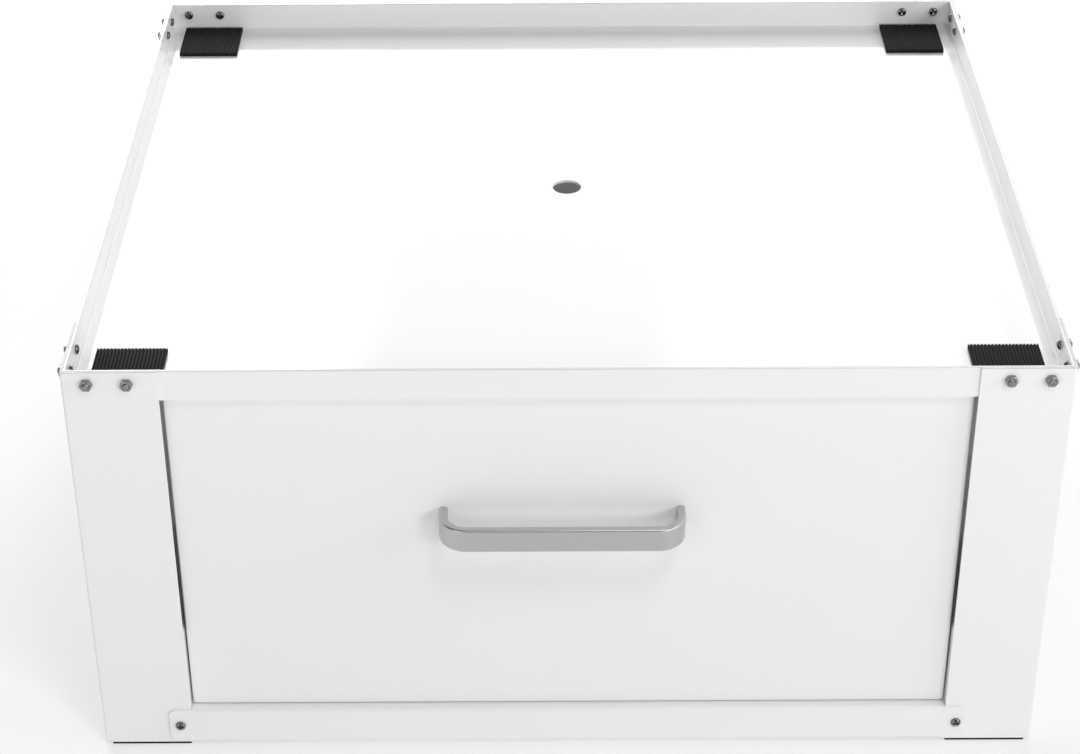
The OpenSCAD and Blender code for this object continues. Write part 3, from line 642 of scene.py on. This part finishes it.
def makeLowRail(node, side):
    # sections carried along X: over the legs a flat strip whose corners are cut round, between them
    # the same strip folded back into a flange. Each section is (depth, height) with as many points.
    lo, hi = nodeBox(node)
    look = lowRailLook
    t, r, steps = look["thickness"], look["outsideRadius"], look["foldSteps"]
    corner, height = look["cornerRadius"], hi[2] - lo[2]
    flangeEnd = hi[0] - look["lap"]
    sweep = arcPoints((r, height - r), r, 180, 90, steps)
    inner = arcPoints((r, height - r), r - t, 90, 180, steps)
    folded = np.concatenate([[(t, 0), (0, 0)], sweep,
                             [(look["flange"], height), (look["flange"], height - t)], inner])
    beyond = np.arange(len(folded)) >= 3 + steps  # the points past the outer fold
    flat = np.where(beyond[:, None], (t, height), folded)
    share = np.linspace(0, 1, steps + 1)
    flat[2:3 + steps] = np.stack([t * share, np.full(steps + 1, height)], axis=-1)
    # at a distance e from the tip, the strip is lower by c - sqrt(c^2 - (c - e)^2) at each edge
    e = corner - corner * np.cos(np.radians(np.linspace(0, 90, look["cornerSteps"])))
    cut = corner - np.sqrt(np.maximum(corner ** 2 - (corner - e) ** 2, 0))
    tips = np.repeat(flat[None], len(e), axis=0)
    tips[:, :, 1] = tips[:, :, 1] + np.where(tips[:, :, 1] > height / 2, -1, 1) * cut[:, None]
    sections = np.concatenate([tips, [flat, folded, folded, flat], tips[::-1]])
    x = np.concatenate([lo[0] + e, [-flangeEnd, -flangeEnd, flangeEnd, flangeEnd], hi[0] - e[::-1]])
    depth = sections[:, :, 0] * -side + (lo[1] if side < 0 else hi[1])
    rings = np.stack([np.repeat(x[:, None], sections.shape[1], axis=1), depth,
                      sections[:, :, 1] + lo[2]], axis=-1)
    addSheet(node, [cappedTube(rings)], look)


makeLowRail("front_bottom_rail", -1)
makeLowRail("rear_bottom_rail", 1)
print("bottom rails made")


padLook = {
    "pitch": 2.25,  # mm from groove to groove
    "groove": 0.9,  # mm deep
    "grooveShare": 0.5,  # of the pitch
    "roundness": 0.6,  # below 1 the grooves' floors are broader
    "plainFrom": 22.4,  # mm from the middle, where the grooves have run out
    "runOut": 0.6,
    "columns": 241,
    "endRows": (0, 0.12, 0.3, 0.5),  # mm from each end, where the ridges sink
    "endDrop": 0.5,
}


def makeWasherPad(node):
    # across the pad the top is height - groove * dip(x), with a rounded trough in dip at each pitch
    lo, hi = nodeBox(node)
    look = padLook
    x = np.linspace(lo[0], hi[0], look["columns"])
    away = x - (lo[0] + hi[0]) / 2
    wave = 0.5 - 0.5 * np.cos(2 * math.pi * away / look["pitch"])
    share = look["grooveShare"]
    dip = np.clip((wave - 1 + share) / share, 0, 1) ** look["roundness"]
    dip *= np.clip((look["plainFrom"] - np.abs(away)) / look["runOut"], 0, 1)
    top = np.stack([x, hi[2] - look["groove"] * dip], axis=-1)
    outline = np.concatenate([top[::-1], [[lo[0], lo[2]], [hi[0], lo[2]]]])
    # towards both ends a quarter ellipse lowers the ridges
    rows = np.array(look["endRows"])
    drop = look["endDrop"] * (1 - np.sqrt(1 - (1 - rows / rows[-1]) ** 2))
    y = np.concatenate([lo[1] + rows, hi[1] - rows[::-1]])
    drop = np.concatenate([drop, drop[::-1]])
    lift = (outline[:, 1] - lo[2]) / (hi[2] - lo[2])
    rings = np.zeros((len(y), len(outline), 3))
    rings[:, :, 0], rings[:, :, 1] = outline[:, 0], y[:, None]
    rings[:, :, 2] = outline[:, 1] - drop[:, None] * lift
    addPiece(camelName(node), [cappedTube(rings)], "frame", rubber, node,
             sharpFrom=50)


footLook = {"cornerRadius": 1.0, "edge": 0.35}


def makeFoot(node):
    # a rounded square carried up by the pad's thickness
    lo, hi = nodeBox(node)
    outline = roundedRect(hi[0] - lo[0], hi[1] - lo[1], footLook["cornerRadius"])
    outline += (lo[:2] + hi[:2]) / 2
    addPiece(camelName(node), [carry(outline, lo[2], hi[2], 2)], "frame", rubber, node,
             footLook["edge"])


for corner in cornerSides:
    makeWasherPad(corner + "_washer_pad")
for corner in cornerSides:
    makeFoot(corner + "_foot")
print("rubber made")


boltPlaces = {
    "rimAcross": (16.0, 41.0),  # mm from a leg's corner
    "rimBelowTop": 8.5,
    "panelAcross": 41.0,
    "panelHeights": (70.0, 234.0),
    "railX": 262.7,
    "railZ": 17.75,
}
clampedSheets = {"leg": 1.5, "tray": 2.0, "panel": 1.0, "rail": 1.5, "runner": 1.5}  # mm thick
screwLook = {
    "headRadius": 3.4,
    "headHeight": 2.1,
    "headRings": (0, .04, .08, .13, .18, .23, .28, .33, .38, .43, .48, .53, .58, .64, .7, .76, .82,
                  .88, .93, .97, 1),  # shares of the head's radius
    "headPower": 2.4,  # 2 is an ellipse; more is fuller at the rim
    "sideHeight": 0.6,
    "footRound": (0.2, 0.15),  # below the head's side, inwards and up
    "recessReach": 2.1,
    "recessWidth": 1.15,
    "recessDepth": 1.9,
    "recessRise": 0.55,
    "recessWall": 0.16,  # width of its slanting walls
    "around": 72,
    "shank": 2.0,
    "shankAround": 36,
    "tip": 0.8,
    "tipTaper": 0.35,
    "pitch": 0.35,  # mm, half of an M4's, so that the short tip shows a few ridges
    "threadDepth": 0.18,
    "threadSpan": (0.3, 0.9),  # from above the tip to inside the nut
}


def screwHead():
    # height over radius r: side + (crown - side) * (1 - (r / R)^p)^(1 / p), less a cross recess
    # that is deepest in the middle and rises along each arm
    look = screwLook
    radius, power = look["headRadius"], look["headPower"]
    r = radius * np.array(look["headRings"])
    crown = look["sideHeight"] + (look["headHeight"] - look["sideHeight"]) * np.maximum(
        1 - (r / radius) ** power, 0) ** (1 / power)
    a = np.linspace(0, 2 * math.pi, look["around"], endpoint=False)
    x, y = r[:, None] * np.cos(a), r[:, None] * np.sin(a)

    def arm(u, v):
        rise = np.clip(1 - np.abs(u) / look["recessReach"], 0, 1) ** look["recessRise"]
        side = np.clip((look["recessWidth"] / 2 - np.abs(v)) / look["recessWall"] + 0.5, 0, 1)
        return look["recessDepth"] * rise * side * side * (3 - 2 * side)

    z = crown[:, None] - np.maximum(arm(x, y), arm(y, x))
    inwards, up = look["footRound"]
    below, _ = turned([(radius, up), (radius - inwards, 0), (0, 0)], look["around"])
    rings = np.concatenate([np.stack([x, y, z], axis=-1), below])
    return rings, stripFaces(len(rings), look["around"])


def screwShank(grip):
    # a straight shank below the head, with a few rings of thread where it stands out of the nut
    look = screwLook
    radius, out = look["shank"], -grip - nutLook["height"]
    end = out - look["tip"]
    above, inside = look["threadSpan"]
    thread = np.arange(end + above, out + inside, look["pitch"])[::-1]
    crests = np.stack([np.full_like(thread, radius), thread + look["pitch"] / 2], axis=-1)
    roots = np.stack([np.full_like(thread, radius - look["threadDepth"]), thread], axis=-1)
    ridges = np.stack([crests, roots], axis=1).reshape(-1, 2)
    tip = [(radius - look["tipTaper"], end), (0, end)]
    return turned(np.concatenate([[(0, 0), (radius, 0)], ridges, tip]), look["shankAround"])


nutLook = {
    "acrossFlats": 7.0,
    "height": 3.2,
    "bore": 2.05,  # radius
    "boreChamfer": (0.3, 0.25),
    "chamferStart": 0.97,  # share of half the width across flats
    "chamferAngle": 30,
    "footRound": (0.15, 0.12),
    "around": 60,
}


def nutPart():
    # a hexagon's radius is flats / (2 cos(a)), and its outer face is lowered beyond the chamfer
    # circle, which leaves the curved corners of a real nut
    look = nutLook
    a = np.linspace(0, 2 * math.pi, look["around"], endpoint=False)
    half, h, bore = look["acrossFlats"] / 2, look["height"], look["bore"]
    hexagon = half / np.cos((a % (math.pi / 3)) - math.pi / 6)
    chamfer = half * look["chamferStart"]
    top = h - (hexagon - chamfer) * math.tan(math.radians(look["chamferAngle"]))
    wider, lower = look["boreChamfer"]
    inwards, up = look["footRound"]
    rows = [(bore, 0), (bore, h - lower), (bore + wider, h), (chamfer, h), (hexagon, top),
            (hexagon, up), (hexagon - inwards, 0)]
    radii = np.stack([np.broadcast_to(r, a.shape) for r, _ in rows])
    heights = np.stack([np.broadcast_to(z, a.shape) for _, z in rows])
    rings = np.stack([radii * np.cos(a), radii * np.sin(a), heights], axis=-1)
    return rings, stripFaces(len(rings), len(a), closedRings=True)


rivetLook = {
    "headRadius": 3.5,
    "headHeight": 1.3,
    "headSide": 0.2,  # share of the height that is a straight side
    "domeFrom": 24,  # degrees, where the dimple ends
    "domeRows": 7,
    "dimple": (0.9, 0.7),  # radius in mm, height as a share
    "shank": 2.0,
    "tailRadius": 2.8,
    "tailHeight": 1.6,
    "tailRound": 0.4,
    "tailInset": (0.3, 0.5),  # at the sheet and at the end
    "around": 24,
}


def rivetPart(grip):
    # a dome of height h * cos(s) at radius R * sin(s) with a dimple where the mandrel broke off,
    # a straight shank, and a barrel tail behind the grip
    look = rivetLook
    radius, height, side = look["headRadius"], look["headHeight"], look["headSide"]
    s = np.radians(np.linspace(look["domeFrom"], 90, look["domeRows"]))
    dome = np.stack([radius * np.sin(s), height * (side + (1 - side) * np.cos(s))], axis=-1)
    width, share = look["dimple"]
    dimple = [(0, share * height), (width, share * height)]
    shank, tail, end = look["shank"], look["tailRadius"], -grip - look["tailHeight"]
    edge, (nearInset, endInset) = look["tailRound"], look["tailInset"]
    below = [(radius, 0), (shank, 0), (shank, -grip), (tail - nearInset, -grip),
             (tail, -grip - edge), (tail, end + edge), (tail - endInset, end), (0, end)]
    return turned(np.concatenate([dimple, dome, below]), look["around"])


legLo, legHi = nodeBox("front_left_leg")
legFarHi = nodeBox("rear_right_leg")[1]
leftFace, rightFace, frontFace, rearFace = legLo[0], legFarHi[0], legLo[1], legFarHi[1]


def rimPlaces():
    # two bolts on each face of each leg, with the directions that their nuts point in
    origins, outward = [], []
    z = legHi[2] - boltPlaces["rimBelowTop"]
    for e in boltPlaces["rimAcross"]:
        for x, insideX in ((leftFace, 1), (rightFace, -1)):
            for y, insideY in ((frontFace, 1), (rearFace, -1)):
                origins += [(x + insideX * e, y, z), (x, y + insideY * e, z)]
                outward += [(0, -insideY, 0), (-insideX, 0, 0)]
    return np.array(origins), np.array(outward)


def panelPlaces():
    origins = [(x, y + s * boltPlaces["panelAcross"], z) for x in (leftFace, rightFace)
               for y, s in ((frontFace, 1), (rearFace, -1)) for z in boltPlaces["panelHeights"]]
    outward = [(-1 if x == leftFace else 1, 0, 0) for x, _, _ in origins]
    return np.array(origins), np.array(outward)


def railPlaces():
    origins = [(s * boltPlaces["railX"], y, boltPlaces["railZ"])
               for s in (-1, 1) for y in (frontFace, rearFace)]
    outward = [(0, -1 if y == frontFace else 1, 0) for _, y, _ in origins]
    return np.array(origins), np.array(outward)


def makeFasteners():
    # places are on the legs' outer faces; cover is the sheet outside them, grip all that is
    # clamped. Rail screws go in from outside, the others from inside.
    sheet = clampedSheets
    for kind, (origins, outward), cover, grip in (
            ("rim", rimPlaces(), 0, sheet["leg"] + sheet["tray"]),
            ("panel", panelPlaces(), 0, sheet["leg"] + sheet["panel"]),
            ("rail", railPlaces(), sheet["rail"], sheet["leg"] + sheet["rail"] + sheet["runner"])):
        headSide = outward if cover else -outward
        heads = origins + outward * (cover if cover else -grip)
        nuts = origins - outward * (grip - cover if cover else 0)
        addPiece(kind + "ScrewHeads", [placed(screwHead(), heads, headSide)], "frame", blackNickel,
                 kind + "_screws", sharpFrom=40)
        addPiece(kind + "ScrewShanks", [placed(screwShank(grip), heads, headSide)], "frame",
                 zincPlate, kind + "_screws", sharpFrom=40)
        addPiece(kind + "Nuts", [placed(nutPart(), nuts, -headSide)], "frame", zincPlate,
                 kind + "_nuts", sharpFrom=25)


makeFasteners()
print("fasteners made")


frontLook = {
    "thickness": 1.0,
    "outsideRadius": 1.15,
    "cornerRadius": 2.0,
    "leastCorner": 0.15,
    "edge": 0.2,
}


def makeDrawerFront():
    # a pan turned on its side: rings are rounded rectangles inset by d at depth y, from the middle
    # of the face over the bend and along the edge, then back inside
    lo, hi = nodeBox("drawer_front")
    t, r = frontLook["thickness"], frontLook["outsideRadius"]
    centre = np.array([(lo[0] + hi[0]) / 2, (lo[2] + hi[2]) / 2])
    width, depth, height = hi - lo

    def ring(d, y):
        corner = max(frontLook["cornerRadius"] - d, frontLook["leastCorner"])
        outline = roundedRect(width - 2 * d, height - 2 * d, corner) + centre
        return np.column_stack([outline[:, 0], np.full(len(outline), lo[1] + y), outline[:, 1]])

    rings = [ring(r - r * math.sin(a), r - r * math.cos(a)) for a in foldAngles]
    rings += [ring(0, depth), ring(t, depth)]
    rings += [ring(r - (r - t) * math.sin(a), r - (r - t) * math.cos(a)) for a in foldAngles[::-1]]
    addSheet("drawer_front", [cappedTube(np.stack(rings))], frontLook, "drawer")


makeDrawerFront()


handleLook = {
    "thickness": 5.5,
    "bendRadius": 18.0,  # outside
    "bendSteps": 20,
    "edgeRadius": 1.7,
    "edgeSteps": 7,
}


def makeHandle():
    # a rounded bar section carried along a U: out from the drawer, round a quarter circle, across
    # and back. The section's width lies along the path's normal, its height along Z.
    lo, hi = nodeBox("handle")
    t = handleLook["thickness"]
    section = roundedRect(t, hi[2] - lo[2], handleLook["edgeRadius"], handleLook["edgeSteps"])
    middle = handleLook["bendRadius"] - t / 2
    x0, x1, face, root = lo[0] + t / 2, hi[0] - t / 2, lo[1] + t / 2, hi[1]
    a = np.linspace(0, math.pi / 2, handleLook["bendSteps"] + 1)
    cos, sin = np.cos(a), np.sin(a)
    leftBend = np.stack([x0 + middle - middle * cos, face + middle - middle * sin], axis=-1)
    rightBend = np.stack([x1 - middle + middle * sin, face + middle - middle * cos], axis=-1)
    path = np.concatenate([[(x0, root)], leftBend, rightBend, [(x1, root)]])
    normal = np.concatenate([[(-1, 0)], np.stack([-cos, -sin], axis=-1),
                             np.stack([sin, -cos], axis=-1), [(1, 0)]])
    rings = np.zeros((len(path), len(section), 3))
    rings[:, :, :2] = path[:, None] + normal[:, None] * section[None, :, :1]
    rings[:, :, 2] = (lo[2] + hi[2]) / 2 + section[:, 1]
    addPiece("handle", [cappedTube(rings)], "drawer", satinSilver, "handle")


makeHandle()
print("drawer front and handle made")


boxLook = {
    "thickness": 1.0,
    "insideRadius": 0.8,
    "edge": 0.15,
    "hem": 8.0,
    "hemSteps": 8,
    "hemGap": 0.02,  # keeps the hem's faces off the sheet's own
    "hemLap": 1.2,  # the sheet ends this far below the hem's top
    "hemInset": (0.1, 0.05),  # at the front and rear ends of a side's hem
}


def hemPart(across0, across1, start, end, top, along):
    # a doubled top edge: a strip two sheets thick whose upper end is a half circle, carried along
    # Y or X
    radius = (across1 - across0) / 2
    arc = arcPoints(((across0 + across1) / 2, top - radius), radius, 0, 180, boxLook["hemSteps"])
    foot = top - boxLook["hem"]
    return carry(np.concatenate([arc, [(across0, foot), (across1, foot)]]), start, end, along)


def makeDrawerSide(node, side):
    # seen from above an angle, the side sheet with its front edge turned out; a hem along the top
    lo, hi = nodeBox(node)
    t, gap = boxLook["thickness"], boxLook["hemGap"]
    flangeEnd, inside = (hi[0], lo[0]) if side > 0 else (lo[0], hi[0])
    outside = inside + side * 2 * t
    x = outside - side * t / 2
    outline = bentSheet([(flangeEnd, lo[1] + t / 2), (x, lo[1] + t / 2), (x, hi[1])], t,
                        boxLook["insideRadius"])
    a, b = sorted((outside, inside))
    frontInset, rearInset = boxLook["hemInset"]
    hem = hemPart(a + gap, b - gap, lo[1] + frontInset, hi[1] - rearInset, hi[2], 1)
    sheet = carry(outline, lo[2], hi[2] - boxLook["hemLap"], 2)
    addSheet(node, [sheet, hem], boxLook, "drawer")


def makeDrawerBottom():
    # a flat floor with both long edges turned down, carried along the depth
    lo, hi = nodeBox("drawer_bottom")
    t = boxLook["thickness"]
    x0, x1, top = lo[0] + t / 2, hi[0] - t / 2, hi[2] - t / 2
    outline = bentSheet([(x0, lo[2]), (x0, top), (x1, top), (x1, lo[2])], t,
                        boxLook["insideRadius"])
    addSheet("drawer_bottom", [carry(outline, lo[1], hi[1], 1)], boxLook, "drawer")


def makeDrawerBack():
    # seen from above a shallow U open to the rear; its hem lies on the rear side
    lo, hi = nodeBox("drawer_back")
    t = boxLook["thickness"]
    x0, x1, y = lo[0] + t / 2, hi[0] - t / 2, lo[1] + t / 2
    outline = bentSheet([(x0, hi[1]), (x0, y), (x1, y), (x1, hi[1])], t, boxLook["insideRadius"])
    hem = hemPart(lo[1] + boxLook["hemGap"], lo[1] + 2 * t, lo[0] + 2 * t, hi[0] - 2 * t, hi[2], 0)
    sheet = carry(outline, lo[2], hi[2] - boxLook["hemLap"], 2)
    addSheet("drawer_back", [sheet, hem], boxLook, "drawer")


makeDrawerSide("left_drawer_side", -1)
makeDrawerSide("right_drawer_side", 1)
makeDrawerBottom()
makeDrawerBack()
print("drawer box made")


slidePlaces = {
    "railX": 255.0,  # face of the runner rail
    "width": 12.7,
    "sheet": 1.2,
    "start": -240.75,  # front end of the slides, mm in Y
    "length": 450.0,
    "height": 66.0,
    "outerShares": (0.08, 0.5, 0.9),  # of the length
    "innerShares": (0.2, 0.65, 0.8),
}
drawerPlaces = {
    "side": 242.3,  # outside of the drawer's sides
    "frontX": 247.8,
    "frontY": -241.75,
    "frontHeights": (99.0, 189.0),
    "backY": 240.75,
    "backHeights": (70.0, 172.0),
    "floorY": (-183.95, 2.25, 188.45),
    "floorHeight": 40.5,
}


def outwardX(origins):
    return np.sign(origins[:, :1]) * np.array([[1.0, 0, 0]])


def makeSlideRivets(node, body, x, shares, grip, side):
    # side 1: heads point away from the middle of the drawer; -1: towards it
    ys = [slidePlaces["start"] + share * slidePlaces["length"] for share in shares]
    origins = np.array([(s * x, y, slidePlaces["height"]) for s in (-1, 1) for y in ys])
    addPiece(camelName(node), [placed(rivetPart(grip), origins, side * outwardX(origins))], body,
             zincPlate, node)


def makeDrawerRivets():
    look = drawerPlaces
    fronts = np.array([(s * look["frontX"], look["frontY"], z)
                       for s in (-1, 1) for z in look["frontHeights"]])
    onSide = ([(look["backY"], z) for z in look["backHeights"]]
              + [(y, look["floorHeight"]) for y in look["floorY"]])
    sides = np.array([(s * look["side"], y, z) for s in (-1, 1) for y, z in onSide])
    part = rivetPart(2 * boxLook["thickness"])
    addPiece("drawerRivets", [placed(part, fronts, [(0, 1, 0)] * len(fronts)),
                              placed(part, sides, outwardX(sides))],
             "drawer", zincPlate, "drawer_rivets")


makeSlideRivets("outer_slide_rivets", "frame", slidePlaces["railX"] - slidePlaces["sheet"],
                slidePlaces["outerShares"], slidePlaces["sheet"] + runnerLook["thickness"], -1)
makeSlideRivets("inner_slide_rivets", "drawer",
                slidePlaces["railX"] - slidePlaces["width"] + slidePlaces["sheet"],
                slidePlaces["innerShares"], slidePlaces["sheet"] + boxLook["thickness"], 1)
makeDrawerRivets()
print("rivets made")


def dress(material, *nodes):
    # gives CAD nodes that stay in the scene their material
    for node in nodes:
        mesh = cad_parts[node].data
        mesh.materials.clear()
        mesh.materials.append(material)


dress(powderCoat, "drawer_front_liner")
dress(galvanised, "left_slide_outer", "right_slide_outer", "left_slide_middle",
      "right_slide_middle", "left_slide_inner", "right_slide_inner")
dress(zincPlate, "left_outer_cage", "right_outer_cage", "left_inner_cage", "right_inner_cage")
dress(ballSteel, "left_outer_balls", "right_outer_balls", "left_inner_balls", "right_inner_balls")
dress(rubber, "slide_bumpers")
dress(blackNickel, "handle_screws")
print("slides dressed")


floorLook = {
    "dark": "#c4c4c4",
    "light": "#cacaca",
    "cloudSize": 400,  # mm
    "roughness": 0.7,
    "glow": (0.416, 0.9),  # light that it gives off, near the pedestal and far from it
    "glowFrom": 1.6,  # metres from the middle where the glow starts to rise
    "glowTo": 4.0,
    "reach": 45.0,  # metres
    "below": 0.05,  # mm that the floor lies under the feet
}


def makeFloor(look):
    # matt opal acrylic sheet with soft light below it and a faint cloudiness, so that it stays pale
    # right up to the pedestal while shadows on it remain gentle, and pale also in the distance
    data = bpy.data.meshes.new("studioFloor")
    reach = look["reach"]
    corners = [(-reach, -reach), (reach, -reach), (reach, reach), (-reach, reach)]
    data.from_pydata([(x, y, -look["below"] * mm) for x, y in corners], [], [(0, 1, 2, 3)])
    floor = bpy.data.objects.new("studioFloor", data)
    bpy.context.scene.collection.objects.link(floor)
    material, shader, place = newMaterial("mattOpalAcrylic", look["dark"],
                                          Roughness=look["roughness"])
    shader.inputs["Emission Color"].default_value = (1, 1, 1, 1)
    cloud = addNode(material, "ShaderNodeTexNoise", {
        "Vector": place, "Scale": perMm(look["cloudSize"])})
    colour = addNode(material, "ShaderNodeValToRGB", {"Fac": cloud.outputs["Fac"]})
    colour.color_ramp.elements[0].color = srgbToLinear(look["dark"])
    colour.color_ramp.elements[1].color = srgbToLinear(look["light"])
    away = addNode(material, "ShaderNodeVectorMath", {0: place}, operation="LENGTH")
    glow = addNode(material, "ShaderNodeMapRange", {
        "Value": away.outputs["Value"], "From Min": look["glowFrom"], "From Max": look["glowTo"],
        "To Min": look["glow"][0], "To Max": look["glow"][1]})
    link(material, colour.outputs["Color"], shader.inputs["Base Color"])
    link(material, glow.outputs["Result"], shader.inputs["Emission Strength"])
    data.materials.append(material)


studioLook = {
    "sky": 0.1,  # even white light from all round
    "distance": 3.2,  # metres from the middle of the pedestal
    "aim": 0.15,  # metres above the floor, where the panels point
    "panels": {  # degrees round from the front, degrees up, diameter in metres, watts
        "backLeftPanel": (-150, 28, 2.4, 44.6),
        "backRightPanel": (150, 34, 2.4, 15.3),
        "backPanel": (180, 34, 2.4, 43.2),
        "frontLeftPanel": (-35, 20, 1.6, 14.0),
        "frontRightPanel": (35, 20, 0.8, 19.6),
        "upperRightPanel": (20, 60, 0.8, 18.0),
        "rightPanel": (70, 25, 1.6, 24.0),
    },
}


def makePanel(name, around, up, size, power):
    # a round soft panel at distance d:
    # x = d cos(up) sin(around), y = -d cos(up) cos(around), z = d sin(up)
    data = bpy.data.lights.new(name, "AREA")
    data.shape, data.size, data.energy = "DISK", size, power
    panel = bpy.data.objects.new(name, data)
    panel.visible_camera = False
    bpy.context.scene.collection.objects.link(panel)
    around, up = math.radians(around), math.radians(up)
    place = studioLook["distance"] * Vector((
        math.cos(up) * math.sin(around), -math.cos(up) * math.cos(around), math.sin(up)))
    panel.location = place
    aim = Vector((0, 0, studioLook["aim"])) - place
    panel.rotation_euler = aim.to_track_quat("-Z", "Y").to_euler()


def makeStudio():
    world = bpy.data.worlds.new("softStudio")
    bpy.context.scene.world = world
    world.use_nodes = True
    sky = world.node_tree.nodes["Background"]
    sky.inputs["Color"].default_value = (1, 1, 1, 1)
    sky.inputs["Strength"].default_value = studioLook["sky"]
    for name, look in studioLook["panels"].items():
        makePanel(name, *look)
    bpy.context.scene.view_settings.view_transform = "Standard"


makeFloor(floorLook)
makeStudio()
print("floor and light made")
